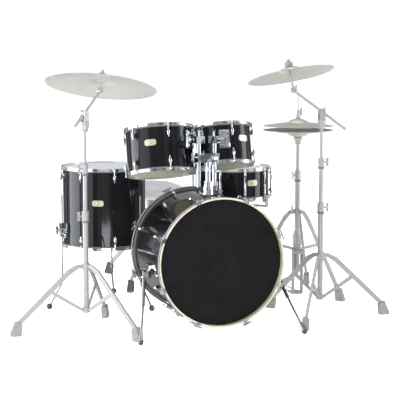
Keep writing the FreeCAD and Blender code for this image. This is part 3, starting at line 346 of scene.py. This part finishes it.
CHROME = chrome(wave=0.014)
ROD_CHROME = chrome("rod_chrome", 0.5, 0.12, 0.2)
STAND = plated_steel("stand_steel")
MATERIALS = {
    "black_lacquer": lacquer(),
    "hoop_chrome": chrome("hoop_chrome", 0.88, 0.04, 0.1),
    "hardware_chrome": CHROME,
    "drum_head": drum_film("drum_head", (0.42, 0.395, 0.29), (0.36, 0.335, 0.24)),
    "bass_head": bass_films(),
    "hoop_wood": bass_hoop_wood(),
    "stand_steel": STAND,
    "pedal_metal": plated_steel("pedal_metal", 0.5),
    "seat_vinyl": vinyl(),
    "cymbal_metal": STAND,
}
RUBBER = rubber()
PALE_RUBBER = rubber("pale_rubber", 0.23)
FELT = felt()
BADGE = brass_plate()

for part in record["subparts"]:
    mesh = nodes[part["node"]].data
    mesh.materials.clear()
    mesh.materials.append(MATERIALS[part["material_slot"]])

RODS = ["left_spur", "right_spur", "floor_tom_leg_1", "floor_tom_leg_2", "floor_tom_leg_3"]
for name in RODS:
    nodes[name].data.materials[0] = ROD_CHROME

SOFT_EDGED = {  # castings and the width in mm of their eased edges
    "tom_holder_post": 4,
    "tom12_arm": 4,
    "tom10_arm": 4,
    "tom12_lugs_and_mount": 3,
    "tom10_lugs_and_mount": 3,
    "shell_mount_brackets": 3,
}
for name, width in SOFT_EDGED.items():
    eased = nodes[name].modifiers.new("eased", "BEVEL")
    eased.width = width * MM
    eased.segments = 3
    eased.limit_method = "ANGLE"
    eased.angle_limit = math.radians(50)


# ---------------------------------------------------------------- mesh helpers
def made(name, mesh, material, body, place=Matrix(), slot=None):
    """A piece from a bmesh, put in place and riding on a body."""
    data = bpy.data.meshes.new(name)
    bmesh.ops.recalc_face_normals(mesh, faces=mesh.faces)
    mesh.to_mesh(data)
    mesh.free()
    piece = bpy.data.objects.new(name, data)
    scene.collection.objects.link(piece)
    data.transform(place)
    data.materials.append(material)
    data.shade_smooth()
    data.set_sharp_from_angle(angle=math.radians(35))
    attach(piece, body)
    return piece


def lathe(outline, count=48):
    """A closed ring surface from an outline of (radius, height) that is turned about Z."""
    mesh = bmesh.new()
    rings = []
    for step in range(count):
        turn = 2 * math.pi * step / count
        rings.append([mesh.verts.new((r * math.cos(turn), r * math.sin(turn), z))
                      for r, z in outline])
    for ring, after in zip(rings, rings[1:] + rings[:1]):
        for index in range(len(outline)):
            nearby = (index + 1) % len(outline)
            mesh.faces.new((ring[index], after[index], after[nearby], ring[nearby]))
    return mesh


def rounded(outline, fillet, steps=4):
    """The same closed outline with each corner turned into a small arc."""
    corners = [Vector(corner) for corner in outline]
    result = []
    for index, corner in enumerate(corners):
        before = corners[index - 1]
        after = corners[(index + 1) % len(corners)]
        reach = min(fillet, (before - corner).length * 0.45, (after - corner).length * 0.45)
        first = corner + (before - corner).normalized() * reach
        last = corner + (after - corner).normalized() * reach
        for step in range(steps + 1):
            blend = step / steps
            result.append(tuple(first * (1 - blend) ** 2 + corner * 2 * blend * (1 - blend) +
                                last * blend ** 2))
    return result


def facing(centre, normal, turn=0.0):
    """A place with its Z axis along normal."""
    rotation = Vector(normal).to_track_quat("Z", "Y").to_matrix().to_4x4()
    return Matrix.Translation(centre) @ rotation @ Matrix.Rotation(turn, 4, "Z")


# ---------------------------------------------------------------- cymbals
BELL_RISE = 20 * MM
RIM_LIFT = 1.2 * MM
CYMBAL_HOLE = 6.5 * MM
SEAT_ABOVE_PIVOT = 42 * MM


def cymbal_outline(radius, bell, bow):
    """Top curve from hole to rim and the underside back again."""
    bell_steps, bow_steps = 10, 24
    top = []
    for step in range(bell_steps + 1):
        reach = CYMBAL_HOLE + (bell - CYMBAL_HOLE) * step / bell_steps
        top.append((reach, bow + BELL_RISE * (1 - min(reach / bell, 1.0) ** 2) ** 0.75))
    for step in range(1, bow_steps + 1):
        reach = bell + (radius - bell) * step / bow_steps
        share = (radius - reach) / (radius - bell)
        top.append((reach, RIM_LIFT + (bow - RIM_LIFT) * (1.27 * share - 0.27 * share * share)))
    under = []
    for reach, height in reversed(top):
        under.append((reach, height - (1.0 + 0.5 * (radius - reach) / radius) * MM))
    return top + under


def cymbal(name, node, body, radius, bell, bow, place):
    """A turned cymbal in place of the CAD one."""
    low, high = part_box(node)
    finish = cymbal_metal(name + "_finish", low, high)
    piece = made(name, lathe(cymbal_outline(radius, bell, bow), RIM_SEGMENTS), finish, body, place,
                 "cymbal_metal")
    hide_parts(node)


for stand, radius in (("ride", 254 * MM), ("crash", 203.2 * MM)):
    spin = joints[stand + "_cymbal_spin"]
    cymbal(stand + "_cymbal_turned", stand + "_cymbal", stand + "_cymbal_plate", radius,
           58 * MM, 22 * MM, facing(spin["pos_m"], spin["axis"]))
for layer, body, flip in (("bottom", "hihat_upper", True), ("top", "hihat_rod", False)):
    node = "hihat_%s_cymbal" % layer
    low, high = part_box(node)
    centre = (low + high) / 2
    place = Matrix.Translation((centre.x, centre.y, high.z if flip else low.z))
    if flip:
        place = place @ Matrix.Rotation(math.pi, 4, "X")
    cymbal("hihat_%s_turned" % layer, node, body, (high.x - low.x) / 2, 55 * MM, 18 * MM, place)


# ---------------------------------------------------------------- felts, clamp rings and rubber
def felt_ring(name, place, low, high, radius, body):
    """A felt washer between two heights along the cymbal's axis, in mm."""
    hole, edge = 2 * MM, radius * MM
    outline = [(hole, low * MM), (edge, low * MM), (edge, high * MM), (hole, high * MM)]
    made(name, lathe(rounded(outline, 2.4 * MM), 40), FELT, body, place)


for stand in ("ride", "crash"):
    spin = joints[stand + "_cymbal_spin"]
    place = facing(spin["pos_m"], spin["axis"]) @ Matrix.Translation((0, 0, SEAT_ABOVE_PIVOT))
    felt_ring(stand + "_lower_felt", place, -13.2, -3.9, 16.6, stand + "_tilt_head")
    felt_ring(stand + "_upper_felt", place, 0.4, 20, 19, stand + "_tilt_head")
low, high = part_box("hihat_top_cymbal")
hat_axis = Matrix.Translation(((low.x + high.x) / 2, (low.y + high.y) / 2, high.z))
felt_ring("hihat_upper_felt", hat_axis, 0.4, 8.2, 13.6, "hihat_rod")
felt_ring("hihat_lower_felt", hat_axis, -13.2, -4.1, 13.6, "hihat_rod")


def dark_plastic():
    finish = Finish("dark_ring", 0.4)
    finish.colour(finish.ramp(finish.noise(50), [(0.3, (0.10,) * 3), (0.8, (0.16,) * 3)]))
    finish.rough(finish.number_range(finish.noise(150), 0.32, 0.5))
    finish.bump(finish.noise(900, 3), 0.1, 0.0003)
    return finish.material


RING = dark_plastic()


def clamp_ring(name, axis, height, radius, hole, body):
    """The dark bush at the lower edge of a height clamp."""
    half = 5 * MM
    outline = rounded([(hole, -half), (radius, -half), (radius, half), (hole, half)], 1.5 * MM)
    made(name, lathe(outline, 40), RING, body, Matrix.Translation((axis.x, axis.y, height)))


PEDAL_HINGE_BEHIND_HAT = 252 * MM
LOWER_CLAMP, UPPER_CLAMP, HAT_CLAMP = 503 * MM, 716 * MM, 590 * MM
stand_axes = {
    "ride": Vector(joints["ride_boom_tilt"]["pos_m"]),
    "crash": Vector(joints["crash_boom_tilt"]["pos_m"]),
    "hihat": Vector(joints["hihat_pedal"]["pos_m"]) - Vector((0, PEDAL_HINGE_BEHIND_HAT, 0)),
    "snare_stand": Vector(joints["snare_tilt"]["pos_m"]),
    "throne": Vector(joints["throne_spin"]["pos_m"]),
}
for stand in ("ride", "crash"):
    clamp_ring(stand + "_lower_clamp_ring", stand_axes[stand], LOWER_CLAMP, 17.2 * MM, 11 * MM,
               "kit_base")
    clamp_ring(stand + "_upper_clamp_ring", stand_axes[stand], UPPER_CLAMP, 14.8 * MM, 8 * MM,
               stand + "_middle")
clamp_ring("hihat_clamp_ring", stand_axes["hihat"], HAT_CLAMP, 17.2 * MM, 11 * MM, "kit_base")


def boot(name, axis, angle, reach, material, body):
    """A rubber foot on the end of a stand's leg, a little larger than the CAD foot inside it."""
    spare = 1.4 * MM
    side = [(-44 * MM - spare, 0), (0, 0), (4 * MM + spare, 7 * MM),
            (-20 * MM, 66 * MM + spare), (-50 * MM - spare, 52 * MM + spare)]
    mesh = bmesh.new()
    half = 12 * MM + spare
    corners = [mesh.verts.new((reach + x, -half, z)) for x, z in side]
    face = mesh.faces.new(corners)
    moved = bmesh.ops.extrude_face_region(mesh, geom=[face])["geom"]
    far_side = [item for item in moved if isinstance(item, bmesh.types.BMVert)]
    bmesh.ops.translate(mesh, vec=(0, 2 * half, 0), verts=far_side)
    upper = [edge for edge in mesh.edges if max(vert.co.z for vert in edge.verts) > 1 * MM]
    bmesh.ops.bevel(mesh, geom=upper, offset=2.8 * MM, segments=3, affect="EDGES")
    place = Matrix.Translation((axis.x, axis.y, 0)) @ Matrix.Rotation(math.radians(angle), 4, "Z")
    made(name, mesh, material, body, place)


TRIPODS = {  # first leg's direction in degrees, reach of the legs, rubber
    "ride": (61, 345 * MM, PALE_RUBBER),
    "crash": (-4, 345 * MM, PALE_RUBBER),
    "hihat": (58, 310 * MM, PALE_RUBBER),
    "snare_stand": (15, 250 * MM, RUBBER),
    "throne": (-3, 366 * MM, RUBBER),
}
for stand, (angle, reach, material) in TRIPODS.items():
    for leg in range(3):
        boot("%s_boot_%d" % (stand, leg + 1), stand_axes[stand], angle + 120 * leg, reach,
             material, "kit_base")


def ball_foot(name, centre, radius, body):
    """A ribbed rubber ball, flat where it meets the floor."""
    steps, rib_count = 20, 12
    outline = []
    for step in range(steps + 1):
        turn = math.pi * step / steps
        ribbed = radius + 0.5 * MM * math.cos(turn * rib_count)
        outline.append((max(ribbed * math.sin(turn), 0.3 * MM),
                        max(-ribbed * math.cos(turn), -centre.z)))
    made(name, lathe(outline, 36), RUBBER, body, Matrix.Translation(centre))


def sole_centre(node, below, height):
    """Middle of a leg's mesh below the given level, set at the foot's own height."""
    sole = [vert.co for vert in nodes[node].data.vertices if vert.co.z < below]
    centre = sum(sole, Vector()) / len(sole)
    centre.z = height
    return centre


for leg in (1, 2, 3):
    ball_foot("floor_tom_foot_%d" % leg, sole_centre("floor_tom_leg_%d" % leg, 26 * MM, 14 * MM),
              14.6 * MM, "floor_leg_%d" % leg)
for side in ("left", "right"):
    ball_foot(side + "_spur_foot", sole_centre(side + "_spur", 12 * MM, 11 * MM),
              11.9 * MM, side + "_spur_leg")


# ---------------------------------------------------------------- badges and vent rings
def badge(name, node, body, lean, angle, height):
    """A plain plate with scalloped ends, curved to the shell, and the vent ring in its middle.

    angle is its direction round the shell in degrees and height its level above the middle in mm.
    """
    low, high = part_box(node)
    centre = (low + high) / 2
    upright = Matrix.Translation(centre) @ Matrix.Rotation(-math.radians(lean), 4, "X")
    radius = SHELL_RADII[node]
    half_width, half_height, thick = 27 * MM, 14 * MM, 1.1 * MM
    mesh = bmesh.new()
    columns, rows = 36, 6
    grids = []
    for layer in (radius + 0.1 * MM, radius + thick):
        grid = []
        for column in range(columns + 1):
            across = -half_width + 2 * half_width * column / columns
            edge = abs(across) / half_width
            share = 1.0 if edge < 0.8 else 0.8 - 0.14 * math.sin((edge - 0.8) * 5 * math.pi / 2)
            tall = half_height * share
            turn = math.radians(angle) + across / radius
            levels = [height * MM - tall + 2 * tall * row / rows for row in range(rows + 1)]
            grid.append([mesh.verts.new((layer * math.cos(turn), layer * math.sin(turn), level))
                         for level in levels])
        grids.append(grid)
    for grid in grids:
        for column in range(columns):
            for row in range(rows):
                mesh.faces.new((grid[column][row], grid[column + 1][row],
                                grid[column + 1][row + 1], grid[column][row + 1]))
    inner, outer = grids
    border = [(column, 0) for column in range(columns)]
    border += [(columns, row) for row in range(rows)]
    border += [(column, rows) for column in range(columns, 0, -1)]
    border += [(0, row) for row in range(rows, 0, -1)]
    for (a, b), (c, d) in zip(border, border[1:] + border[:1]):
        mesh.faces.new((inner[a][b], inner[c][d], outer[c][d], outer[a][b]))
    made(name, mesh, BADGE, body, upright)
    turn = math.radians(angle)
    out = Vector((math.cos(turn), math.sin(turn), 0))
    ring = [(2.6 * MM, 0), (6 * MM, 0), (4.6 * MM, 1.6 * MM), (2.6 * MM, 1.9 * MM)]
    place = upright @ facing(out * (radius + thick - 0.2 * MM) + Vector((0, 0, height * MM)), out)
    made(name + "_vent", lathe(rounded(ring, 0.7 * MM), 32), CHROME, body, place)


badge("tom12_badge", "tom12_shell", "tom12_drum", TOM_LEAN, -121, 22)
badge("tom10_badge", "tom10_shell", "tom10_drum", TOM_LEAN, -62, 18)
badge("snare_badge", "snare_shell", "snare_drum", 0, -75, 8)
badge("floor_tom_badge", "floor_tom_shell", "kit_base", 0, -112.5, 32)


# ---------------------------------------------------------------- clamps and tom mounts
def plate(width, height, thickness, bevel):
    """A plate with rounded edges, lying in the XY plane."""
    mesh = bmesh.new()
    bmesh.ops.create_cube(mesh, size=1)
    bmesh.ops.scale(mesh, vec=(width, height, thickness), verts=mesh.verts)
    bmesh.ops.bevel(mesh, geom=mesh.edges[:], offset=bevel, segments=3, affect="EDGES")
    return mesh


def boom_clamp_shroud(stand):
    """The flared housing under the boom clamp."""
    pivot = Vector(joints[stand + "_boom_tilt"]["pos_m"])
    flare = [(11.4 * MM, -82 * MM), (13.5 * MM, -82 * MM), (20.5 * MM, -38 * MM),
             (17.5 * MM, -34 * MM), (11.4 * MM, -58 * MM)]
    made(stand + "_clamp_shroud", lathe(rounded(flare, 2 * MM), 40), STAND, stand + "_upper",
         Matrix.Translation(pivot))


def sleeve(name, start, end, radius, body):
    """A drawn steel sleeve round a thinner rod."""
    length = (end - start).length
    bore = radius * 0.8
    outline = rounded([(bore, 0), (radius, 0), (radius, length), (bore, length)], 0.6 * MM)
    made(name, lathe(outline, 32), STAND, body, facing(start, end - start))


def boom_sleeves(stand, tail):
    """Sleeves over the boom on both sides of its clamp, and over a long cymbal stem."""
    boom_radius, stem_radius = 6.4 * MM, 5.2 * MM
    pivot = Vector(joints[stand + "_boom_tilt"]["pos_m"])
    tip = Vector(joints[stand + "_cymbal_tilt"]["pos_m"])
    heading = (tip - pivot).normalized()
    clear_of_clamp = heading * 22 * MM
    sleeve(stand + "_boom_sleeve", pivot + clear_of_clamp, tip - heading * 16 * MM, boom_radius,
           stand + "_boom")
    sleeve(stand + "_boom_tail", pivot - clear_of_clamp, pivot - heading * tail, boom_radius,
           stand + "_boom")
    spin = joints[stand + "_cymbal_spin"]
    normal = Vector(spin["axis"]).normalized()
    rim = Vector(spin["pos_m"])
    if (rim - tip).length > 40 * MM:
        sleeve(stand + "_stem_sleeve", tip + normal * 19 * MM, rim + normal * 28 * MM, stem_radius,
               stand + "_tilt_head")


def tom_mount_trim(name, angle, rise):
    """Two raised ribs and four screw heads on a rack tom's mounting plate."""
    low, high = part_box(name + "_shell")
    lean = Matrix.Rotation(-math.radians(TOM_LEAN), 4, "X")
    upright = Matrix.Translation((low + high) / 2) @ lean
    turn = math.radians(angle)
    out = Vector((math.cos(turn), math.sin(turn), 0))
    face = SHELL_RADII[name + "_shell"] + 10 * MM
    aside = Vector((-out.y, out.x, 0))
    base = Matrix((aside, (0, 0, 1), out)).transposed().to_4x4()
    head = [(0.4 * MM, 0), (4.6 * MM, 0), (4.2 * MM, 3.2 * MM), (0.4 * MM, 4 * MM)]
    for label, side in (("upper", 1), ("lower", -1)):
        middle = out * (face + 1.5 * MM) + Vector((0, 0, (rise + side * 29) * MM))
        made("%s_mount_%s_rib" % (name, label), plate(50 * MM, 24 * MM, 9 * MM, 3.6 * MM), CHROME,
             name + "_drum", upright @ Matrix.Translation(middle) @ base)
        for hand, edge in (("left", -1), ("right", 1)):
            screw = middle + aside * (edge * 15 * MM) + out * (4.2 * MM)
            made("%s_mount_%s_screw_%s" % (name, label, hand), lathe(rounded(head, 0.8 * MM), 20),
                 MATERIALS["hoop_chrome"], name + "_drum",
                 upright @ Matrix.Translation(screw) @ base)


HAT_SEAT_HEIGHT = 800 * MM
boom_clamp_shroud("ride")
boom_clamp_shroud("crash")
boom_sleeves("ride", 83 * MM)
boom_sleeves("crash", 149 * MM)
seat_ring = rounded([(18 * MM, 0), (23 * MM, 0), (23 * MM, 12 * MM), (18 * MM, 12 * MM)], 1.6 * MM)
made("hihat_seat_ring", lathe(seat_ring, 40), FELT, "hihat_upper",
     Matrix.Translation((stand_axes["hihat"].x, stand_axes["hihat"].y, HAT_SEAT_HEIGHT)))
tom_mount_trim("tom12", -46, 33)
tom_mount_trim("tom10", -106, 14)


# ---------------------------------------------------------------- seat
def cushion():
    """The round seat: board, padded top pressed up by a cloth simulation, and its piped edge."""
    low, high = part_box("throne_cushion")
    centre = (low + high) / 2
    radius = (high.x - low.x) / 2
    top = (high.z - low.z) / 2
    middle = 0.5 * MM
    start = [(middle, -top + 4 * MM), (radius - 20 * MM, -top + 4 * MM),
             (radius - 9 * MM, -top + 14 * MM), (radius - 6 * MM, 0.0),
             (radius - 12 * MM, top - 20 * MM), (radius - 34 * MM, top - 10 * MM),
             (middle, top - 9 * MM)]
    mesh = lathe(rounded(start, 12 * MM, 5), 96)
    bmesh.ops.remove_doubles(mesh, verts=mesh.verts, dist=0.5 * MM)
    piece = made("throne_pad", mesh, MATERIALS["seat_vinyl"], "throne_seat",
                 Matrix.Translation(centre), "seat_vinyl")
    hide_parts("throne_cushion")
    inflate(piece, low, high)
    shaped = piece.modifiers.new("smooth", "SUBSURF")
    shaped.levels = shaped.render_levels = 1
    piping(centre, "throne_piping_low", -top + 14 * MM, radius - 4 * MM)
    piping(centre, "throne_piping_high", top - 22 * MM, radius - 6 * MM)


def piping(centre, name, height, reach):
    """A thin piped seam round the pad."""
    thick, sides = 2.4 * MM, 10
    seam = []
    for step in range(sides):
        turn = math.tau * step / sides
        seam.append((reach + thick * math.cos(turn), height + thick * math.sin(turn)))
    made(name, lathe(seam, 120), MATERIALS["seat_vinyl"], "throne_seat", Matrix.Translation(centre))


def inflate(piece, low, high):
    """Cloth pressure swells the pad; no point may leave the pad's own box."""
    frames = 20
    most = 9 * MM
    scene.frame_set(1)
    view_layer = bpy.context.view_layer
    for other in view_layer.objects:
        other.select_set(False)
    view_layer.objects.active = piece
    remesh = piece.modifiers.new("remesh", "REMESH")
    remesh.mode = "VOXEL"
    remesh.voxel_size = 6 * MM
    bpy.ops.object.modifier_apply(modifier="remesh")
    rest = [vert.co.copy() for vert in piece.data.vertices]
    cloth = piece.modifiers.new("cloth", "CLOTH")
    cloth.settings.use_pressure = True
    cloth.settings.uniform_pressure_force = 4.0
    cloth.settings.effector_weights.gravity = 0.0
    cloth.settings.tension_stiffness = 20
    cloth.settings.bending_stiffness = 2
    cloth.point_cache.frame_start = 1
    cloth.point_cache.frame_end = frames
    for step in range(1, frames + 1):
        scene.frame_set(step)
    graph = bpy.context.evaluated_depsgraph_get()
    swollen = [vert.co.copy() for vert in piece.evaluated_get(graph).data.vertices]
    piece.modifiers.remove(cloth)
    for vert, before, after in zip(piece.data.vertices, rest, swollen):
        moved = after - before
        if moved.length > most:
            moved *= most / moved.length
        at = before + moved
        vert.co = Vector([min(max(at[axis], low[axis]), high[axis]) for axis in range(3)])
    piece.data.shade_smooth()
    scene.frame_set(1)


cushion()


# ---------------------------------------------------------------- floor, light and camera
def floor():
    """A pale, faintly glowing floor, so that it meets the background without an edge."""
    mesh = bmesh.new()
    bmesh.ops.create_grid(mesh, x_segments=1, y_segments=1, size=30)
    data = bpy.data.meshes.new("floor")
    mesh.to_mesh(data)
    mesh.free()
    plane = bpy.data.objects.new("floor", data)
    scene.collection.objects.link(plane)
    finish = Finish("floor_paint", 0.7)
    finish.colour(finish.ramp(finish.noise(1.5),
                              [(0.3, (0.93, 0.93, 0.93)), (0.7, (0.95, 0.95, 0.95))]))
    data.materials.append(finish.material)
    finish.shader.inputs["Emission Color"].default_value = (1, 1, 1, 1)
    finish.shader.inputs["Emission Strength"].default_value = 0.9
    plane.visible_glossy = False


def panel(name, place, target, width, height, power, mirrored=True):
    light = bpy.data.lights.new(name, "AREA")
    light.shape = "RECTANGLE"
    light.size, light.size_y = width, height
    light.energy = power
    light.color = (0.93, 0.96, 1.0) if mirrored else (1.0, 1.0, 1.0)
    lamp = bpy.data.objects.new(name, light)
    lamp.location = place
    lamp.rotation_euler = (Vector(target) - Vector(place)).to_track_quat("-Z", "Y").to_euler()
    lamp.visible_glossy = mirrored
    scene.collection.objects.link(lamp)


def camera():
    """A long lens from the left front, a little above the drums."""
    lens = bpy.data.cameras.new("camera")
    lens.lens = 127.1
    lens.sensor_width = 36
    eye = bpy.data.objects.new("camera", lens)
    eye.location = (-1.964, -6.731, 1.360)
    pitch = 0.12
    heading = Vector((0.3003 * math.cos(pitch), 0.9538 * math.cos(pitch), -math.sin(pitch)))
    eye.rotation_euler = heading.to_track_quat("-Z", "Y").to_euler()
    scene.collection.objects.link(eye)
    scene.camera = eye


def studio_world(seen, dark, light):
    world = bpy.data.worlds.new("studio")
    world.use_nodes = True
    tree = world.node_tree
    tree.nodes.clear()
    place = tree.nodes.new("ShaderNodeTexCoord")
    patches = tree.nodes.new("ShaderNodeTexNoise")
    patches.inputs["Scale"].default_value = 3.4
    patches.inputs["Detail"].default_value = 1.5
    shade = tree.nodes.new("ShaderNodeMapRange")
    shade.inputs["From Min"].default_value = 0.42
    shade.inputs["From Max"].default_value = 0.58
    shade.inputs["To Min"].default_value = dark
    shade.inputs["To Max"].default_value = light
    dim = tree.nodes.new("ShaderNodeBackground")
    bright = tree.nodes.new("ShaderNodeBackground")
    bright.inputs["Strength"].default_value = seen
    bright.inputs["Color"].default_value = (1, 1, 1, 1)
    path = tree.nodes.new("ShaderNodeLightPath")
    choice = tree.nodes.new("ShaderNodeMixShader")
    output = tree.nodes.new("ShaderNodeOutputWorld")
    tree.links.new(place.outputs["Generated"], patches.inputs["Vector"])
    tree.links.new(patches.outputs["Fac"], shade.inputs["Value"])
    tree.links.new(shade.outputs["Result"], dim.inputs["Strength"])
    tree.links.new(path.outputs["Is Camera Ray"], choice.inputs["Fac"])
    tree.links.new(dim.outputs["Background"], choice.inputs[1])
    tree.links.new(bright.outputs["Background"], choice.inputs[2])
    tree.links.new(choice.outputs["Shader"], output.inputs["Surface"])
    scene.world = world


floor()
studio_world(seen=1.0, dark=0.15, light=0.85)
panel("left_wall", (-3.3, 0.75, 0.95), (0, 0, 0.7), 2.2, 2.4, 100)
panel("left_front", (-2.9, -3.4, 2.6), (0, 0, 0.6), 0.7, 1.6, 22, mirrored=False)
panel("left_dim", (-3.3, -1.5, 0.95), (0, 0, 0.7), 2.2, 2.4, 28)
panel("right_wall", (3.3, -1.3, 1.2), (0, 0, 0.7), 1.4, 2.2, 50)
panel("top", (0.2, -0.2, 3.6), (0, 0, 0), 3.2, 3.2, 60)
panel("front_fill", (-1.6, -4.6, 1.2), (0, 0, 0.6), 3.0, 2.4, 170, mirrored=False)
panel("low_strip", (-0.9, -3.4, -0.2), (0, 0, 0.9), 1.4, 0.35, 14)
camera()
scene.view_settings.view_transform = "Standard"
